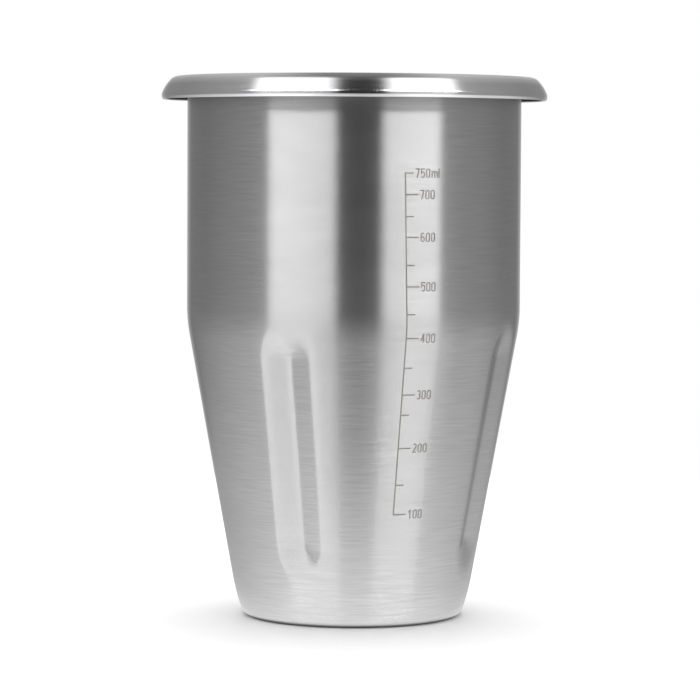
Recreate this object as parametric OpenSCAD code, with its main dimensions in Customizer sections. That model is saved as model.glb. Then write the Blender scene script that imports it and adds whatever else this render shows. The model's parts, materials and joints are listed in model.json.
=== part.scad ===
// Steel mixing cup of a milkshake mixer: one drawn sheet with a turned-down rim,
// four pressed flutes and a volume scale marked on the outside.
// Millimetres, +Z up, origin at the centre of the foot, scale facing -Y.

/* [Body] */
// Outside diameter of the straight upper wall
body_d = 96.5; // [95:0.5:98]
// Height from the table to the top of the rim
cup_h = 156; // [152:0.5:170]
// Thickness of the steel sheet
sheet = 0.6; // [0.5:0.1:0.8]
// Height of the corner between the straight wall and the taper
shoulder_z = 85.8; // [82:0.2:90]
// Slope of the tapered wall from the vertical, in degrees
taper = 10.3; // [9.5:0.1:10.8]
// Radius that softens the shoulder
shoulder_r = 50; // [30:1:60]

/* [Foot] */
// Diameter at which the flat foot ends and its corner begins
foot_d = 58.2; // [56:0.2:59]
// Radius of the foot's corner
foot_corner_r = 3.4; // [3:0.1:3.8]
// Radius of the curve between the corner and the taper
foot_curve_r = 60; // [40:1:80]
// Height of the pressed-up centre panel of the foot
panel_rise = 1; // [0.8:0.1:1.4]
// Diameter of the pressed-up centre panel
panel_d = 45; // [38:1:46]
// Radius of the bends round the panel
panel_bend_r = 1.5; // [1:0.1:2]
// Slope of the step round the panel, in degrees
panel_slope = 30; // [25:1:40]

/* [Rim] */
// Outside diameter of the turned-down rim
rim_d = 111.4; // [110.6:0.2:114]
// Inner radius of the bend from the wall into the rim
rim_bend_r = 2.4; // [2:0.1:2.4]
// Radius of the rim's top corner
rim_corner_r = 2.6; // [2.2:0.1:3]
// Radius of the rim's sloping side
rim_side_r = 12; // [10:1:14]
// Radius of the rim's lip
rim_lip_r = 2.2; // [1.8:0.1:2.4]
// Slope at which the rim's corner ends and its side begins, in degrees
rim_corner_turn = 46; // [42:1:50]
// Slope at which the rim's side ends and its lip begins, in degrees
rim_side_turn = 68; // [64:1:72]
// Slope at which the rim's lip ends, in degrees
rim_lip_turn = 117; // [105:1:125]

/* [Flutes] */
// Number of pressed flutes
flutes = 4; // [3:1:6]
// Depth of a flute at its middle
flute_depth = 2; // [1:0.1:2.4]
// Slope of a flute's two sides, in degrees
flute_slope = 12; // [11:0.5:16]
// Radius of a flute's rounded bottom
flute_bottom_r = 6; // [2:0.5:7]
// Height of a flute's lower end
flute_low = 14; // [13:1:22]
// Height of a flute's upper end
flute_high = 86; // [76:1:88]

/* [Scale] */
// Thickness of the marking
mark_t = 0.06; // [0.04:0.01:0.1]
// Width of the lines
line_w = 0.35; // [0.3:0.05:0.5]
// Width of the strokes of the numerals
stroke_w = 0.3; // [0.25:0.05:0.4]
// Height of the numerals
digit_h = 2.6; // [2.4:0.1:3.2]
// Width of a numeral
digit_w = 1.25; // [1.1:0.05:1.4]
// Distance between neighbouring numerals
digit_pitch = 1.6; // [1.5:0.05:1.9]
// Length of the lines that carry a numeral
long_line = 3.7; // [3:0.1:4]
// Length of the half-way lines
short_line = 2.4; // [1.5:0.1:2.5]
// Length of the topmost line
top_line = 2.4; // [1.5:0.1:2.5]
// Gap between a line and its numeral
numeral_gap = 0.6; // [0.4:0.1:1]

/* [Hidden] */
$fn = 96;
body_r = body_d / 2;
foot_r = foot_d / 2;
rim_r = rim_d / 2;
arc_step = 5;

// Volumes marked on the cup, in millilitres, and the heights of their lines.
GRADUATIONS = [
    [100, 33.0], [150, 41.4], [200, 51.9], [250, 61.3], [300, 67.0], [350, 74.6], [400, 82.9],
    [450, 89.5], [500, 97.2], [550, 103.1], [600, 110.9], [650, 116.6], [700, 122.7], [750, 128.6]
];
top_volume = 750;
numeral_step = 100;
volumes = [for (g = GRADUATIONS) g[0]];
scale_low = GRADUATIONS[0][1];
scale_high = GRADUATIONS[len(GRADUATIONS) - 1][1];
// The scale is drawn flat, facing -Y, and laid onto the wall. Its spine passes spine_x from the middle
// at the shoulder, and leans by a different amount above and below it.
spine_x = -3.05;
upper_lean = 0.018;
lower_lean = 0.003;

// ---- Outline of the sheet ----

// Unit vectors to the right and to the left of a heading.
function right_of(h) = [cos(h - 90), sin(h - 90)];
function left_of(h) = [cos(h + 90), sin(h + 90)];

// Points on an arc that turns left from heading h0 to h1 round the centre c.
function left_turn(c, r, h0, h1) =
    let (n = max(2, ceil(abs(h1 - h0) / arc_step)))
    [for (i = [0 : n]) c + r * right_of(h0 + (h1 - h0) * i / n)];

// Points on an arc that turns right from heading h0 to h1 round the centre c.
function right_turn(c, r, h0, h1) =
    let (n = max(2, ceil(abs(h1 - h0) / arc_step)))
    [for (i = [0 : n]) c + r * left_of(h0 + (h1 - h0) * i / n)];

// Heading of the tapered wall and its unit normal.
wall_heading = 90 - taper;
wall_normal = right_of(wall_heading);
wall_offset = wall_normal * [body_r, shoulder_z];

// Centre panel and the inner edge of the foot.
panel_r = panel_d / 2;
step_drop = panel_rise - 2 * panel_bend_r * (1 - cos(panel_slope));
step_run = step_drop / tan(panel_slope) + 2 * panel_bend_r * sin(panel_slope);
panel_c = [panel_r, panel_rise - panel_bend_r];
foot_inner_c = [panel_r + step_run, panel_bend_r];

// Foot corner, and the curve that joins it to the taper if the corner doesn't reach the taper itself.
corner_c = [foot_r, foot_corner_r];
curve_reach = foot_curve_r - (wall_offset - wall_normal * corner_c);
curve_heading = wall_heading - acos(min(1, curve_reach / (foot_curve_r - foot_corner_r)));
curve_c = corner_c + (foot_corner_r - foot_curve_r) * right_of(curve_heading);

// Shoulder, where the taper meets the straight wall.
straight_low = shoulder_z + shoulder_r * tan(taper / 2);
shoulder_c = [body_r - shoulder_r, straight_low];

// Flutes: how far an end reaches past its middle, and the middle of the lower end.
cutter_top = 1;
flute_reach = flute_bottom_r * sin(flute_slope)
    + (flute_depth - flute_bottom_r * (1 - cos(flute_slope))) / tan(flute_slope);
flute_length = (flute_high - flute_low) / cos(taper) - 2 * flute_reach;
flute_foot_z = flute_low + flute_reach * cos(taper);
flute_foot_r = body_r - (shoulder_z - flute_foot_z) * tan(taper);

// Rim: a bend outwards, then three arcs down to the lip. Their radii are the upper side's.
straight_high = cup_h - sheet - rim_bend_r;
bend_c = [body_r + rim_bend_r, straight_high];
side_from_corner = (rim_corner_r - rim_side_r) * left_of(-rim_corner_turn);
lip_from_side = (rim_side_r - rim_lip_r) * left_of(-rim_side_turn);
rim_corner_c = [rim_r - rim_lip_r - side_from_corner[0] - lip_from_side[0], cup_h - rim_corner_r];
rim_side_c = rim_corner_c + side_from_corner;
rim_lip_c = rim_side_c + lip_from_side;

// Foot and wall from the axis to the top of the straight wall, at depth d below the outer surface.
function wall_side(d) = concat(
    [[0, panel_rise + d]],
    right_turn(panel_c, panel_bend_r + d, 0, -panel_slope),
    left_turn(foot_inner_c, panel_bend_r - d, -panel_slope, 0),
    left_turn(corner_c, foot_corner_r - d, 0, curve_heading),
    left_turn(curve_c, foot_curve_r - d, curve_heading, wall_heading),
    left_turn(shoulder_c, shoulder_r - d, wall_heading, 90)
);

// Rim from the straight wall to the lip, at depth d below its underside.
function rim_side(d) = concat(
    right_turn(bend_c, rim_bend_r + d, 90, 0),
    right_turn(rim_corner_c, rim_corner_r - sheet + d, 0, -rim_corner_turn),
    right_turn(rim_side_c, rim_side_r - sheet + d, -rim_corner_turn, -rim_side_turn),
    right_turn(rim_lip_c, rim_lip_r - sheet + d, -rim_side_turn, -rim_lip_turn)
);

// Rounded edge of the sheet, from the underside of the lip to its upper side.
lip_edge_c = rim_lip_c + (rim_lip_r - sheet / 2) * left_of(-rim_lip_turn);
lip_edge = left_turn(lip_edge_c, sheet / 2, -rim_lip_turn, 180 - rim_lip_turn);

function reversed(list) = [for (i = [len(list) - 1 : -1 : 0]) list[i]];

// ---- Sheet metal ----

// Everything inside the outer surface, up to the mouth.
module outer_solid() {
    rotate_extrude()
        polygon(concat(wall_side(0), rim_side(0), lip_edge, reversed(rim_side(sheet)), [[0, straight_high]]));
}

// The space that the cup holds, open at the top.
module inner_space() {
    rotate_extrude()
        polygon(concat(wall_side(sheet), [[body_r - sheet, cup_h + 1], [0, cup_h + 1]]));
}

// Half of a flute cutter's outline, from its bottom to above the wall. grow moves it outwards.
function flute_side(grow) =
    let (arc = left_turn([0, flute_bottom_r - flute_depth], flute_bottom_r + grow, 0, flute_slope),
        last = arc[len(arc) - 1])
    concat(arc, [[last[0] + (cutter_top - last[1]) / tan(flute_slope), cutter_top]]);

// Cutter that presses a flute into the tapered wall, with the lower end's middle at the origin,
// +Y out of the wall and +Z up along it.
module flute_cutter(grow) {
    side = flute_side(grow);
    other_side = [for (p = reversed(side)) [-p[0], p[1]]];
    linear_extrude(height = flute_length) polygon(concat(other_side, side));
    for (z = [0, flute_length])
        translate([0, 0, z])
            rotate([-90, 0, 0])
                rotate_extrude()
                    polygon(concat(side, [[0, cutter_top]]));
}

// The flutes stand at equal angles, with the scale half-way between two of them.
module all_flutes(grow) {
    for (i = [0 : flutes - 1])
        rotate([0, 0, -90 + (i + 0.5) * 360 / flutes])
            translate([flute_foot_r, 0, flute_foot_z])
                rotate([0, taper, 0])
                    rotate([0, 0, -90])
                        flute_cutter(grow);
}

module cup_shell() {
    color("silver")
        difference() {
            outer_solid();
            all_flutes(0);
            difference() {
                inner_space();
                all_flutes(sheet);
            }
        }
}

// ---- Marking ----

// Thin skin on the outside of the wall, where the scale lies.
module marking_skin() {
    skin_low = scale_low - digit_h;
    skin_high = scale_high + digit_h;
    skin_angle = 40;
    outside = concat(left_turn(curve_c, foot_curve_r, curve_heading, wall_heading),
        left_turn(shoulder_c, shoulder_r, wall_heading, 90), [[body_r, skin_high]]);
    proud = concat(left_turn(curve_c, foot_curve_r + mark_t, curve_heading, wall_heading),
        left_turn(shoulder_c, shoulder_r + mark_t, wall_heading, 90), [[body_r + mark_t, skin_high]]);
    rotate([0, 0, -90 - skin_angle / 2])
        rotate_extrude(angle = skin_angle)
            polygon(concat(outside, reversed(proud)));
}

// Lays a flat drawing, seen from -Y, onto the wall.
module on_wall() {
    intersection() {
        marking_skin();
        rotate([90, 0, 0]) linear_extrude(height = body_r + 1) children();
    }
}

// Distance of the spine to the right of the middle at height z.
function spine_at(z) =
    let (lean = z >= shoulder_z ? upper_lean : lower_lean)
    spine_x - lean * (z - shoulder_z);

// A straight stroke of width w between two points.
module stroke(a, b, w) {
    d = b - a;
    length = norm(d);
    translate(a)
        rotate(atan2(d[1], d[0]))
            translate([-w / 2, -w / 2])
                square([length + w, w]);
}

// A round stroke of width w about c, from angle a0 to a1, at most half a turn.
module curved_stroke(c, r, a0, a1, w) {
    side = 2 * r;
    peak = 3 * r;
    middle = (a0 + a1) / 2;
    translate(c)
        intersection() {
            difference() {
                circle(r = r + w / 2);
                circle(r = r - w / 2);
            }
            polygon([[0, 0], side * [cos(a0), sin(a0)], peak * [cos(middle), sin(middle)],
                side * [cos(a1), sin(a1)]]);
        }
}

// ---- Numerals, drawn by the centre lines of their strokes in a box glyph_w by glyph_h ----
glyph_w = digit_w - stroke_w;
glyph_h = digit_h - stroke_w;
bowl = glyph_w / 2;
top_bowl = [bowl, glyph_h - bowl];
low_bowl = [bowl, bowl];
waist = glyph_h * 0.55;

module line(a, b) { stroke(a, b, stroke_w); }
module bend(c, a0, a1) { curved_stroke(c, bowl, a0, a1, stroke_w); }

// Closed loop from the bottom of the box to height top.
module loop(top) {
    bend([bowl, top - bowl], 0, 180);
    bend(low_bowl, 180, 360);
    line([0, bowl], [0, top - bowl]);
    line([glyph_w, bowl], [glyph_w, top - bowl]);
}

module digit_0() { loop(glyph_h); }

module digit_1() {
    stem = glyph_w * 0.65;
    line([stem, 0], [stem, glyph_h]);
    line([stem - bowl, glyph_h - bowl], [stem, glyph_h]);
}

module digit_2() {
    bend(top_bowl, -30, 150);
    line([0, 0], top_bowl + bowl * [cos(-30), sin(-30)]);
    line([0, 0], [glyph_w, 0]);
}

module digit_3() {
    bend(top_bowl, 0, 150);
    line([glyph_w, waist + bowl], [glyph_w, glyph_h - bowl]);
    bend([bowl, waist + bowl], 270, 360);
    bend([bowl, waist - bowl], 0, 90);
    line([glyph_w, bowl], [glyph_w, waist - bowl]);
    bend(low_bowl, 210, 360);
}

module digit_4() {
    stem = glyph_w * 0.75;
    bar = glyph_h * 0.3;
    line([stem, 0], [stem, glyph_h]);
    line([0, bar], [stem, glyph_h]);
    line([0, bar], [glyph_w, bar]);
}

module digit_5() {
    line([0, glyph_h], [glyph_w, glyph_h]);
    line([0, waist - bowl / 2], [0, glyph_h]);
    bend([bowl, waist - bowl / 2], 0, 150);
    line([glyph_w, bowl], [glyph_w, waist - bowl / 2]);
    bend(low_bowl, 210, 360);
}

module digit_6() {
    loop(waist);
    line([0, bowl], [0, glyph_h - bowl]);
    bend(top_bowl, 30, 180);
}

module digit_7() {
    stem_foot = glyph_w * 0.35;
    line([0, glyph_h], [glyph_w, glyph_h]);
    line([stem_foot, 0], [glyph_w, glyph_h]);
}

// The letters of the unit: an m with two arches and an l.
module letters_ml() {
    arch_top = glyph_h * 0.7;
    arch_pitch = glyph_w * 0.8;
    first_stem = glyph_w * 0.1;
    l_stem = glyph_w * 2.4;
    for (i = [0 : 1])
        translate([i * arch_pitch, 0]) {
            intersection() {
                bend([bowl, arch_top - bowl], 0, 180);
                translate([first_stem, 0]) square([2 * glyph_w, glyph_h]);
            }
            line([glyph_w, 0], [glyph_w, arch_top - bowl]);
        }
    line([first_stem, 0], [first_stem, arch_top]);
    line([l_stem, 0], [l_stem, glyph_h]);
}

module digit(n) {
    if (n == 0) digit_0();
    if (n == 1) digit_1();
    if (n == 2) digit_2();
    if (n == 3) digit_3();
    if (n == 4) digit_4();
    if (n == 5) digit_5();
    if (n == 6) digit_6();
    if (n == 7) digit_7();
}

// A three-figure number, with its lower left corner at the origin.
module number(v) {
    translate([stroke_w / 2, stroke_w / 2]) {
        digit(floor(v / 100));
        translate([digit_pitch, 0]) digit(floor(v / 10) % 10);
        translate([2 * digit_pitch, 0]) digit(v % 10);
        if (v == top_volume)
            translate([3 * digit_pitch, 0]) letters_ml();
    }
}

// One graduation: its line, starting at the spine's edge, and its number if it has one.
module graduation(v, z) {
    numbered = v % numeral_step == 0 || v == top_volume;
    reach = v == top_volume ? top_line : numbered ? long_line : short_line;
    color("dimgray")
        on_wall()
            translate([spine_at(z), z]) {
                translate([line_w / 2, -line_w / 2]) square([reach - line_w / 2, line_w]);
                if (numbered)
                    translate([reach + numeral_gap, -digit_h / 2]) number(v);
            }
}

// The upright line that joins all the graduations.
module scale_spine() {
    low = [spine_at(scale_low), scale_low - line_w / 2];
    corner = [spine_at(shoulder_z), shoulder_z];
    high = [spine_at(scale_high), scale_high + line_w / 2];
    half = [line_w / 2, 0];
    color("dimgray")
        on_wall()
            polygon([low - half, corner - half, high - half, high + half, corner + half, low + half]);
}

cup_shell();
scale_spine();
for (g = GRADUATIONS)
    graduation(g[0], g[1]);
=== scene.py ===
"""Looks of a steel mixing cup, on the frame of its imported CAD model. Metres, +Z up, scale facing -Y."""

import json
from math import acos, cos, degrees, pi, radians, sin, sqrt, tan

import bpy
import numpy as np
from mathutils import Matrix, Vector


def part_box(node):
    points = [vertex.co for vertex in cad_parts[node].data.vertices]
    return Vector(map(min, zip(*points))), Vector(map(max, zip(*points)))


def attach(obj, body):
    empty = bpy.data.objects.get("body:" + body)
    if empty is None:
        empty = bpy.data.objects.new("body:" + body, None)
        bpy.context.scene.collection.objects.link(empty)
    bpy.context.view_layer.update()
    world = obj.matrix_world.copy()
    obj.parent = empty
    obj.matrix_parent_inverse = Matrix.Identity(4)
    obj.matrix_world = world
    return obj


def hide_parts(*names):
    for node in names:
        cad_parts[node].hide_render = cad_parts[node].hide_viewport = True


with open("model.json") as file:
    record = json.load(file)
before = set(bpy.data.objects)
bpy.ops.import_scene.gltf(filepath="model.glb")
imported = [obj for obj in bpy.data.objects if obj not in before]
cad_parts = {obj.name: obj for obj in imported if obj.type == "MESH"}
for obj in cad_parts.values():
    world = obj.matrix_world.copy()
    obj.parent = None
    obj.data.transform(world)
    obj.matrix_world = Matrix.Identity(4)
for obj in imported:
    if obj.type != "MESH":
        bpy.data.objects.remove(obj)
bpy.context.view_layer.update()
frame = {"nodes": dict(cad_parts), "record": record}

MM = 0.001
mounts = {m["name"]: m["dims"] for m in frame["record"]["mounts"]}
shell_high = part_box("cup_shell")[1]

# ---- Dimensions of the cup ----
BODY_R = mounts["body_under_rim"]["r_mm"] * MM
SHEET = BODY_R - mounts["mouth"]["r_mm"] * MM
CUP_H = shell_high[2]
RIM_R = min(shell_high[0], shell_high[1])
SHOULDER_Z = 85.8 * MM
SHOULDER_R = 50 * MM
TAPER = 10.3
FOOT_R = 29.1 * MM
FOOT_CORNER_R = 3.4 * MM
FOOT_CURVE_R = 60 * MM
PANEL_R = 22.5 * MM
PANEL_RISE = 1 * MM
PANEL_BEND_R = 1.5 * MM
PANEL_SLOPE = 30
RIM_BEND_R = 2.4 * MM
RIM_CORNER_R = 2.6 * MM
RIM_SIDE_R = 12 * MM
RIM_LIP_R = 2.2 * MM
RIM_TURNS = (46, 68, 117)

FLUTES = 4
FLUTE_DEPTH = 2 * MM
FLUTE_SLOPE = radians(12)
FLUTE_BOTTOM_R = 6 * MM
FLUTE_LOW = 14 * MM
FLUTE_HIGH = 86 * MM
# Width over which a flute's edge is rounded into the wall
FLUTE_SOFT = 0.5 * MM

# ---- Viewpoint ----
CAMERA_AZIMUTH = -21.5
CAMERA_DISTANCE = 0.9425
CAMERA_HEIGHT = 0.1317
CAMERA_SIDE = -0.00092
CAMERA_PITCH = -3.32
CAMERA_ROLL = 0.3
CAMERA_LENS = 167.1


# ---- Outline of the sheet: points (radius, height) with the outward normal's heading ----
def heading(h):
    """Unit vector at angle h, in degrees from the outward radius towards +Z."""
    return np.array([cos(radians(h)), sin(radians(h))])


def left_turn(centre, r, h0, h1, step):
    """Points with their outward normals on an arc that turns left from heading h0 to h1."""
    n = max(2, int(abs(h1 - h0) / step + 0.999))
    turns = [h0 - 90 + (h1 - h0) * i / n for i in range(n + 1)]
    return [(centre + r * heading(t), t) for t in turns]


def right_turn(centre, r, h0, h1, step):
    """Points with their left-hand normals on an arc that turns right from heading h0 to h1."""
    n = max(2, int(abs(h1 - h0) / step + 0.999))
    turns = [h0 + 90 + (h1 - h0) * i / n for i in range(n + 1)]
    return [(centre + r * heading(t), t) for t in turns]


def between(a, b, n):
    """Evenly spaced inner points of the straight stretch from a to b, with a's normal."""
    return [(a[0] + (b[0] - a[0]) * i / n, a[1]) for i in range(1, n)]


wall_heading = 90 - TAPER
wall_normal = heading(-TAPER)
wall_offset = wall_normal @ np.array([BODY_R, SHOULDER_Z])

step_drop = PANEL_RISE - 2 * PANEL_BEND_R * (1 - cos(radians(PANEL_SLOPE)))
step_run = step_drop / tan(radians(PANEL_SLOPE)) + 2 * PANEL_BEND_R * sin(radians(PANEL_SLOPE))
panel_c = np.array([PANEL_R, PANEL_RISE - PANEL_BEND_R])
foot_inner_c = np.array([PANEL_R + step_run, PANEL_BEND_R])

corner_c = np.array([FOOT_R, FOOT_CORNER_R])
curve_reach = FOOT_CURVE_R - (wall_offset - wall_normal @ corner_c)
curve_heading = wall_heading - degrees(acos(curve_reach / (FOOT_CURVE_R - FOOT_CORNER_R)))
curve_c = corner_c + (FOOT_CORNER_R - FOOT_CURVE_R) * heading(curve_heading - 90)

straight_low = SHOULDER_Z + SHOULDER_R * tan(radians(TAPER / 2))
straight_high = CUP_H - SHEET - RIM_BEND_R
shoulder_c = np.array([BODY_R - SHOULDER_R, straight_low])

bend_c = np.array([BODY_R + RIM_BEND_R, straight_high])
side_from_corner = (RIM_CORNER_R - RIM_SIDE_R) * heading(90 - RIM_TURNS[0])
lip_from_side = (RIM_SIDE_R - RIM_LIP_R) * heading(90 - RIM_TURNS[1])
corner_r = RIM_R - RIM_LIP_R - side_from_corner[0] - lip_from_side[0]
rim_corner_c = np.array([corner_r, CUP_H - RIM_CORNER_R])
rim_side_c = rim_corner_c + side_from_corner
rim_lip_c = rim_side_c + lip_from_side


def wall_side(d, taper_rings):
    """Foot and wall, from near the axis to the top of the straight wall, at depth d in the sheet."""
    panel = right_turn(panel_c, PANEL_BEND_R + d, 0, -PANEL_SLOPE, 6)
    foot_inner = left_turn(foot_inner_c, PANEL_BEND_R - d, -PANEL_SLOPE, 0, 6)
    corner = left_turn(corner_c, FOOT_CORNER_R - d, 0, curve_heading, 5)
    curve = left_turn(curve_c, FOOT_CURVE_R - d, curve_heading, wall_heading, 1.0)
    shoulder = left_turn(shoulder_c, SHOULDER_R - d, wall_heading, 90, 0.9)
    top = (np.array([BODY_R - d, straight_high]), 0)
    taper_rows = between(curve[-1], shoulder[0], taper_rings)
    straight_rows = between(shoulder[-1], top, 12)
    panel_rows = [(np.array([PANEL_R * t, PANEL_RISE + d]), -90) for t in (0.02, 0.3, 0.6, 0.85)]
    foot = panel_rows + panel + foot_inner + corner + curve[1:]
    return foot + taper_rows + shoulder + straight_rows + [top]


def rim_side(d):
    """Rim from the straight wall to the lip, at depth d above its underside."""
    bend = right_turn(bend_c, RIM_BEND_R + d, 90, 0, 6)
    corner = right_turn(rim_corner_c, RIM_CORNER_R - SHEET + d, 0, -RIM_TURNS[0], 5)
    side = right_turn(rim_side_c, RIM_SIDE_R - SHEET + d, -RIM_TURNS[0], -RIM_TURNS[1], 3)
    lip = right_turn(rim_lip_c, RIM_LIP_R - SHEET + d, -RIM_TURNS[1], -RIM_TURNS[2], 5)
    return bend[1:] + corner + side[1:] + lip[1:]


# ---- Flutes ----
flute_turn = FLUTE_BOTTOM_R * sin(FLUTE_SLOPE)
flute_rise = FLUTE_DEPTH - FLUTE_BOTTOM_R * (1 - cos(FLUTE_SLOPE))
flute_reach = (flute_turn + flute_rise / tan(FLUTE_SLOPE)) * cos(radians(TAPER))
flute_middles = [radians(-90 + (i + 0.5) * 360 / FLUTES) for i in range(FLUTES)]


def flute_side(q, d):
    """Height of a flute's side above its bottom, q from its middle line and at depth d in the sheet."""
    r = FLUTE_BOTTOM_R + d
    turn = r * sin(FLUTE_SLOPE)
    rounded = r - np.sqrt(r ** 2 - np.minimum(q, turn) ** 2)
    return rounded + np.maximum(q - turn, 0) * tan(FLUTE_SLOPE)


def pressed(point, angles, d):
    """Depth of the flutes round the ring through point, at depth d in the sheet."""
    r, z = point
    offset = np.min([np.abs((angles - middle + pi) % (2 * pi) - pi) for middle in flute_middles], axis=0)
    inside_taper = wall_offset - d - wall_normal @ point
    beyond = max(FLUTE_LOW + flute_reach - z, z - FLUTE_HIGH + flute_reach, 0) / cos(radians(TAPER))
    q = np.hypot(r * np.sin(offset), beyond)
    depth = FLUTE_DEPTH - flute_side(q, d) - r * (1 - np.cos(offset)) - inside_taper
    soft = (np.clip(depth, -FLUTE_SOFT, FLUTE_SOFT) + FLUTE_SOFT) ** 2 / (4 * FLUTE_SOFT)
    return np.where(offset < pi / FLUTES / 2, np.maximum(depth, soft), 0)


def column_angles():
    """Angles of the mesh's columns: close together across each flute, wider between them."""
    fine, coarse = 40, 40
    reach = radians(12.5)
    quarter = 2 * pi / FLUTES
    one = np.concatenate([
        np.linspace(-reach, reach, fine, endpoint=False),
        np.linspace(reach, quarter - reach, coarse, endpoint=False),
    ])
    return np.concatenate([middle + one for middle in flute_middles])


# ---- Materials ----
def new_material(name):
    material = bpy.data.materials.new(name)
    material.use_nodes = True
    tree = material.node_tree
    return material, tree, tree.nodes["Principled BSDF"]


def stretched_noise(tree, scale, detail):
    """Noise on object coordinates, with a different scale along each axis."""
    coords = tree.nodes.new("ShaderNodeTexCoord")
    mapping = tree.nodes.new("ShaderNodeMapping")
    mapping.inputs["Scale"].default_value = scale
    noise = tree.nodes.new("ShaderNodeTexNoise")
    noise.inputs["Scale"].default_value = 1
    noise.inputs["Detail"].default_value = detail
    tree.links.new(coords.outputs["Object"], mapping.inputs["Vector"])
    tree.links.new(mapping.outputs["Vector"], noise.inputs["Vector"])
    return noise.outputs["Fac"]


def ranged(tree, value, low, high, lowest=0.3, highest=0.7):
    """The noise value spread over the range low to high."""
    node = tree.nodes.new("ShaderNodeMapRange")
    node.inputs["From Min"].default_value = lowest
    node.inputs["From Max"].default_value = highest
    node.inputs["To Min"].default_value = low
    node.inputs["To Max"].default_value = high
    tree.links.new(value, node.inputs["Value"])
    return node.outputs["Result"]


def mixed_colour(tree, factor, dark, light):
    node = tree.nodes.new("ShaderNodeMix")
    node.data_type = "RGBA"
    node.inputs["A"].default_value = (*dark, 1)
    node.inputs["B"].default_value = (*light, 1)
    tree.links.new(factor, node.inputs["Factor"])
    return node.outputs["Result"]


def brushed(name, colours, roughness, anisotropy, bump):
    """Steel with fine brush lines that run round the cup."""
    material, tree, shader = new_material(name)
    lines = stretched_noise(tree, (110, 110, 2700), 1)
    smears = stretched_noise(tree, (14, 14, 70), 2)
    shader.inputs["Metallic"].default_value = 1
    shader.inputs["Anisotropic"].default_value = anisotropy
    shader.inputs["Anisotropic Rotation"].default_value = 0.25
    tangent = tree.nodes.new("ShaderNodeTangent")
    tangent.direction_type = "RADIAL"
    tangent.axis = "Z"
    tree.links.new(tangent.outputs["Tangent"], shader.inputs["Tangent"])
    tree.links.new(mixed_colour(tree, ranged(tree, lines, 0, 1), *colours), shader.inputs["Base Color"])
    tree.links.new(ranged(tree, smears, *roughness), shader.inputs["Roughness"])
    relief = tree.nodes.new("ShaderNodeBump")
    relief.inputs["Strength"].default_value = bump
    relief.inputs["Distance"].default_value = 0.02 * MM
    tree.links.new(lines, relief.inputs["Height"])
    tree.links.new(relief.outputs["Normal"], shader.inputs["Normal"])
    return material


def polished(name, colours, roughness):
    """Steel buffed bright, with faint polishing lines."""
    material, tree, shader = new_material(name)
    lines = stretched_noise(tree, (90, 90, 2400), 2)
    shader.inputs["Metallic"].default_value = 1
    tree.links.new(mixed_colour(tree, ranged(tree, lines, 0, 1), *colours), shader.inputs["Base Color"])
    tree.links.new(ranged(tree, lines, *roughness), shader.inputs["Roughness"])
    return material


def etched(name):
    """Matt brownish-grey marking with small gaps in its tone."""
    material, tree, shader = new_material(name)
    mottle = stretched_noise(tree, (2600, 2600, 2600), 3)
    colour = mixed_colour(tree, ranged(tree, mottle, 0, 1), (0.16, 0.145, 0.125), (0.30, 0.28, 0.25))
    shader.inputs["Metallic"].default_value = 0.3
    tree.links.new(colour, shader.inputs["Base Color"])
    tree.links.new(ranged(tree, mottle, 0.45, 0.65), shader.inputs["Roughness"])
    return material


# ---- The cup ----
OUTSIDE, RIM, INSIDE, UNDER_RIM = range(4)


def cup_mesh():
    """The whole sheet as one closed skin of rings, from the foot's underside to the inside floor."""
    outer, under_rim = wall_side(0, 96), rim_side(0)
    edge_c = rim_lip_c + (RIM_LIP_R - SHEET / 2) * heading(90 - RIM_TURNS[2])
    lip_edge = left_turn(edge_c, SHEET / 2, -RIM_TURNS[2], 180 - RIM_TURNS[2], 30)[1:-1]
    over_rim, inner = rim_side(SHEET)[::-1], wall_side(SHEET, 60)[::-1]
    stretches = (
        (outer, OUTSIDE, 0), (under_rim, UNDER_RIM, None), (lip_edge, RIM, None),
        (over_rim, RIM, None), (inner, INSIDE, SHEET),
    )
    angles = column_angles()
    rings, kinds = [], []
    for points, kind, depth in stretches:
        for point, turn in points:
            inwards = pressed(point, angles, depth) if depth is not None else 0 * angles
            radius = point[0] - inwards * cos(radians(turn))
            height = point[1] - inwards * sin(radians(turn))
            rings.append(np.stack([radius * np.cos(angles), radius * np.sin(angles), height], axis=1))
            kinds.append(kind)
    n = len(angles)
    verts = np.concatenate(rings + [[[0, 0, PANEL_RISE]], [[0, 0, PANEL_RISE + SHEET]]])
    faces, slots = [], []
    for i in range(len(rings) - 1):
        for j in range(n):
            k = (j + 1) % n
            faces.append((i * n + j, i * n + k, (i + 1) * n + k, (i + 1) * n + j))
            slots.append(kinds[i])
    last, under, floor = (len(rings) - 1) * n, len(rings) * n, len(rings) * n + 1
    for j in range(n):
        k = (j + 1) % n
        faces += [(under, k, j), (floor, last + j, last + k)]
        slots += [OUTSIDE, INSIDE]
    mesh = bpy.data.meshes.new("cup_sheet")
    mesh.from_pydata(verts.tolist(), [], faces)
    mesh.polygons.foreach_set("material_index", slots)
    mesh.polygons.foreach_set("use_smooth", [True] * len(faces))
    mesh.update()
    return mesh


def make_cup():
    cup = bpy.data.objects.new("cup_sheet", cup_mesh())
    bpy.context.scene.collection.objects.link(cup)
    steel_tones = ((0.445, 0.445, 0.445), (0.485, 0.485, 0.485))
    cup.data.materials.append(brushed("steel_brushed_outside", steel_tones, (0.24, 0.265), 1, 0.06))
    rim_tones = ((0.72, 0.72, 0.73), (0.75, 0.75, 0.76))
    cup.data.materials.append(polished("steel_polished_rim", rim_tones, (0.14, 0.16)))
    cup.data.materials.append(brushed("steel_satin_inside", steel_tones, (0.34, 0.42), 0.5, 0.06))
    # The rim's underside is rougher, and its dark grey tone is painted shade in the hollow under the lip.
    under_rim_shade_tones = ((0.26, 0.26, 0.26), (0.3, 0.3, 0.3))
    cup.data.materials.append(polished("steel_painted_shade_under_rim", under_rim_shade_tones, (0.4, 0.5)))
    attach(cup, "root")
    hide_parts("cup_shell")
    return cup


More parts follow.
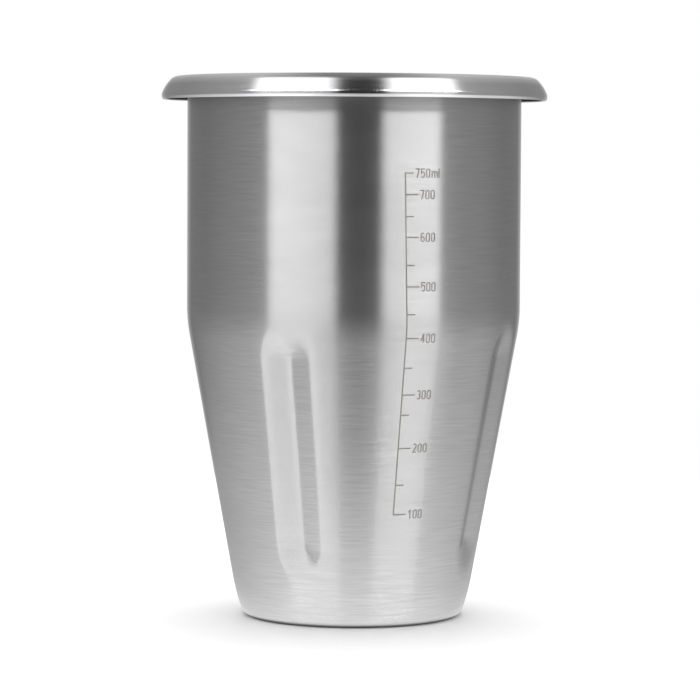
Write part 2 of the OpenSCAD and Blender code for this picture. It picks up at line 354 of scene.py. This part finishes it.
def finish_marking():
    """The scale's lines and numerals keep their CAD shapes and get the etched finish."""
    marking = etched("etched_marking")
    for name, node in frame["nodes"].items():
        if name == "cup_shell":
            continue
        node.data.materials.clear()
        node.data.materials.append(marking)


# ---- Studio ----
def emission_material(name):
    material = bpy.data.materials.new(name)
    material.use_nodes = True
    tree = material.node_tree
    tree.nodes.clear()
    glow = tree.nodes.new("ShaderNodeEmission")
    out = tree.nodes.new("ShaderNodeOutputMaterial")
    tree.links.new(glow.outputs["Emission"], out.inputs["Surface"])
    return material, tree, glow


def maths(tree, operation, a, b=None):
    node = tree.nodes.new("ShaderNodeMath")
    node.operation = operation
    for socket, value in zip(node.inputs, (a, b)):
        if value is None:
            continue
        if isinstance(value, (int, float)):
            socket.default_value = value
        else:
            tree.links.new(value, socket)
    return node.outputs["Value"]


def diagonal(tree, a, b):
    """Length of the step that goes a one way and b at right angles to it."""
    squares = maths(tree, "ADD", maths(tree, "POWER", a, 2), maths(tree, "POWER", b, 2))
    return maths(tree, "SQRT", squares)


def ramp(tree, value, stops):
    """Piecewise linear function of value through the stops (position, level)."""
    total = stops[0][1]
    for (x0, y0), (x1, y1) in zip(stops, stops[1:]):
        node = tree.nodes.new("ShaderNodeMapRange")
        for socket, number in zip(("From Min", "From Max", "To Min", "To Max"), (x0, x1, 0, y1 - y0)):
            node.inputs[socket].default_value = number
        tree.links.new(value, node.inputs["Value"])
        total = maths(tree, "ADD", node.outputs["Result"], total)
    return total


# The studio is laid out by what the cup shows of it. Its places are given by the direction of a surface
# that reflects them to the camera: degrees to the right of the camera, and degrees above the horizon.
# A softbox stands on each side of the camera, in a dim room that is darkest round the camera.
SOFTBOXES = ((-29.5, -6), (9.5, 30))
# Each softbox has a low part that the table throws back, a dim face, a row of lamps and a bright top.
# A part is given by its heights, its brightness and how soft its sides are, in degrees.
SOFTBOX_PARTS = (
    ((-60, -8), 0.8, 9), ((-8, 13.5), 0.55, 1.5), ((13.5, 18.5), 14, 1.2), ((18.5, 40), 1.6, 2),
)
SOFT_ENDS = 1
ROOM_LIGHT = ((-60, 0.28), (-30, 0.4), (-8, 0.02), (8, 0.02), (30, 0.4), (60, 0.28))
# The lit table shows low on the cup, over a wide stretch.
TABLE_LIGHT = 0.5
TABLE_FADE = ((-75, 0), (-40, 1), (50, 1), (75, 0))
TABLE_HEIGHT = ((-10, 1), (-6, 0))
# The pale backdrop behind the cup shows at its edges.
BACKDROP_LIGHT = 0.3
BACKDROP_FADE = ((-84, 1), (-76, 0), (76, 0), (84, 1))
CEILING_LIGHT = 0.25
CEILING_FADE = ((34, 0), (48, 1))
STUDIO_RADIUS = 2.0
STUDIO_HEIGHT = 0.08
# All directions meet at the point of the sphere opposite the camera, so the light is even round it.
EVEN_LIGHT = 0.6
EVEN_FADE = ((0.2, 0), (0.5, 1))


def in_degrees(tree, rise, run):
    return maths(tree, "MULTIPLY", maths(tree, "ARCTAN2", rise, run), 180 / pi)


def soft_span(span, soft):
    """Stops that are 1 inside the span and fade to 0 over twice the softness at each end."""
    start, end = span
    return (start - soft, 0), (start + soft, 1), (end - soft, 1), (end + soft, 0)


def make_studio():
    """A sphere of light that the cup reflects. The camera looks through it to the white background."""
    bpy.ops.mesh.primitive_uv_sphere_add(segments=96, ring_count=48, radius=STUDIO_RADIUS)
    dome = bpy.context.object
    dome.name = "studio_light_dome"
    dome.location[2] = STUDIO_HEIGHT
    dome.rotation_euler[2] = radians(CAMERA_AZIMUTH)
    dome.visible_camera = False
    dome.visible_diffuse = False
    dome.visible_shadow = False
    material, tree, glow = emission_material("studio_light")
    coords = tree.nodes.new("ShaderNodeTexCoord")
    split = tree.nodes.new("ShaderNodeSeparateXYZ")
    tree.links.new(coords.outputs["Object"], split.inputs["Vector"])
    right, back, up = (split.outputs[axis] for axis in "XYZ")
    ahead = maths(tree, "SUBTRACT", STUDIO_RADIUS, back)
    level = diagonal(tree, right, ahead)
    turn = in_degrees(tree, right, ahead)
    height = in_degrees(tree, up, level)
    backdrop = maths(tree, "MULTIPLY", ramp(tree, turn, BACKDROP_FADE), BACKDROP_LIGHT)
    ceiling = maths(tree, "MULTIPLY", ramp(tree, height, CEILING_FADE), CEILING_LIGHT)
    light = maths(tree, "ADD", ramp(tree, turn, ROOM_LIGHT), maths(tree, "ADD", backdrop, ceiling))
    table = maths(tree, "MULTIPLY", ramp(tree, turn, TABLE_FADE), ramp(tree, height, TABLE_HEIGHT))
    light = maths(tree, "ADD", light, maths(tree, "MULTIPLY", table, TABLE_LIGHT))
    for sides in SOFTBOXES:
        for ends, brightness, soft_sides in SOFTBOX_PARTS:
            across = ramp(tree, turn, soft_span(sides, soft_sides))
            lit = maths(tree, "MULTIPLY", across, ramp(tree, height, soft_span(ends, SOFT_ENDS)))
            light = maths(tree, "ADD", light, maths(tree, "MULTIPLY", lit, brightness))
    away = diagonal(tree, level, up)
    uneven = maths(tree, "MULTIPLY", maths(tree, "SUBTRACT", light, EVEN_LIGHT), ramp(tree, away, EVEN_FADE))
    tree.links.new(maths(tree, "ADD", uneven, EVEN_LIGHT), glow.inputs["Strength"])
    dome.data.materials.append(material)


# The painted reflection of the lit floor reaches further behind the cup than in front of it. Its brightness
# is given by the distance from the cup's axis, with a painted shadow under the foot, and by the angle to the
# right of the camera.
GLOW_BEHIND = 120 * MM
GLOW_FADE = ((213 * MM, 1), (263 * MM, 0))
GLOW_PAINTED_FOOT_SHADOW = ((30.5 * MM, 0.02), (32 * MM, 1))
GLOW_ROUND = ((-150, 0.55), (-40, 1.55), (40, 1.5), (150, 0.55))


FLOOR_R = 0.42
FLOOR_TONE = (0.8, 0.8, 0.8, 1)


def make_floor():
    bpy.ops.mesh.primitive_circle_add(vertices=128, radius=FLOOR_R, fill_type="NGON")
    floor = bpy.context.object
    floor.name = "floor"
    floor.visible_glossy = False
    material, tree, shader = new_material("pale_floor")
    shader.inputs["Base Color"].default_value = FLOOR_TONE
    shader.inputs["Roughness"].default_value = 0.6
    floor.data.materials.append(material)


def make_floor_glow():
    """A glowing disc that paints the lit floor round the cup, with a painted shadow under the foot, seen in
    reflections only.
    """
    bpy.ops.mesh.primitive_circle_add(vertices=96, radius=GLOW_FADE[-1][0], fill_type="NGON")
    glow = bpy.context.object
    glow.name = "floor_glow"
    a = radians(CAMERA_AZIMUTH)
    glow.location = (-GLOW_BEHIND * sin(a), GLOW_BEHIND * cos(a), -0.5 * MM)
    glow.rotation_euler[2] = a
    glow.visible_camera = False
    glow.visible_diffuse = False
    glow.visible_shadow = False
    material, tree, light = emission_material("floor_light")
    coords = tree.nodes.new("ShaderNodeTexCoord")
    from_middle = tree.nodes.new("ShaderNodeVectorMath")
    from_middle.operation = "LENGTH"
    tree.links.new(coords.outputs["Object"], from_middle.inputs["Vector"])
    split = tree.nodes.new("ShaderNodeSeparateXYZ")
    tree.links.new(coords.outputs["Object"], split.inputs["Vector"])
    right = split.outputs["X"]
    ahead = maths(tree, "SUBTRACT", -GLOW_BEHIND, split.outputs["Y"])
    away = diagonal(tree, right, ahead)
    round_cup = ramp(tree, in_degrees(tree, right, ahead), GLOW_ROUND)
    level = maths(tree, "MULTIPLY", ramp(tree, away, GLOW_PAINTED_FOOT_SHADOW), round_cup)
    tree.links.new(level, light.inputs["Strength"])
    clear = tree.nodes.new("ShaderNodeBsdfTransparent")
    blend = tree.nodes.new("ShaderNodeMixShader")
    tree.links.new(ramp(tree, from_middle.outputs["Value"], GLOW_FADE), blend.inputs["Fac"])
    tree.links.new(clear.outputs["BSDF"], blend.inputs[1])
    tree.links.new(light.outputs["Emission"], blend.inputs[2])
    tree.links.new(blend.outputs["Shader"], tree.nodes["Material Output"].inputs["Surface"])
    glow.data.materials.append(material)


OVERHEAD_SIZE = 1.6
OVERHEAD_POWER = 29.5
OVERHEAD_BEHIND = 0.4
OVERHEAD_HEIGHT = 1.7


def make_floor_light():
    """Overhead light for the floor. The steel doesn't reflect it."""
    data = bpy.data.lights.new("floor_overhead_light", "AREA")
    data.shape = "DISK"
    data.size = OVERHEAD_SIZE
    data.energy = OVERHEAD_POWER
    light = bpy.data.objects.new("floor_overhead_light", data)
    a = radians(CAMERA_AZIMUTH)
    light.location = (-OVERHEAD_BEHIND * sin(a), OVERHEAD_BEHIND * cos(a), OVERHEAD_HEIGHT)
    light.visible_camera = False
    light.visible_glossy = False
    bpy.context.scene.collection.objects.link(light)


def make_world():
    world = bpy.data.worlds.new("white_background")
    world.use_nodes = True
    world.node_tree.nodes["Background"].inputs["Color"].default_value = (1, 1, 1, 1)
    bpy.context.scene.world = world


def make_camera():
    a, pitch, roll = radians(CAMERA_AZIMUTH), radians(CAMERA_PITCH), radians(CAMERA_ROLL)
    level = Vector((cos(a), sin(a), 0))
    ahead = Vector((-sin(a) * cos(pitch), cos(a) * cos(pitch), sin(pitch)))
    upright = level.cross(ahead)
    right = level * cos(roll) + upright * sin(roll)
    up = upright * cos(roll) - level * sin(roll)
    place = Vector((sin(a), -cos(a), 0)) * CAMERA_DISTANCE + level * CAMERA_SIDE
    place.z = CAMERA_HEIGHT
    camera = bpy.data.objects.new("camera", bpy.data.cameras.new("camera"))
    camera.data.lens = CAMERA_LENS
    camera.data.sensor_width = 36
    camera.data.clip_start = 0.01
    turn = Matrix((right, up, -ahead)).transposed()
    camera.matrix_world = Matrix.Translation(place) @ turn.to_4x4()
    bpy.context.scene.collection.objects.link(camera)
    bpy.context.scene.camera = camera


make_cup()
finish_marking()
make_studio()
make_floor()
make_floor_glow()
make_floor_light()
make_world()
make_camera()
bpy.context.scene.view_settings.view_transform = "Standard"
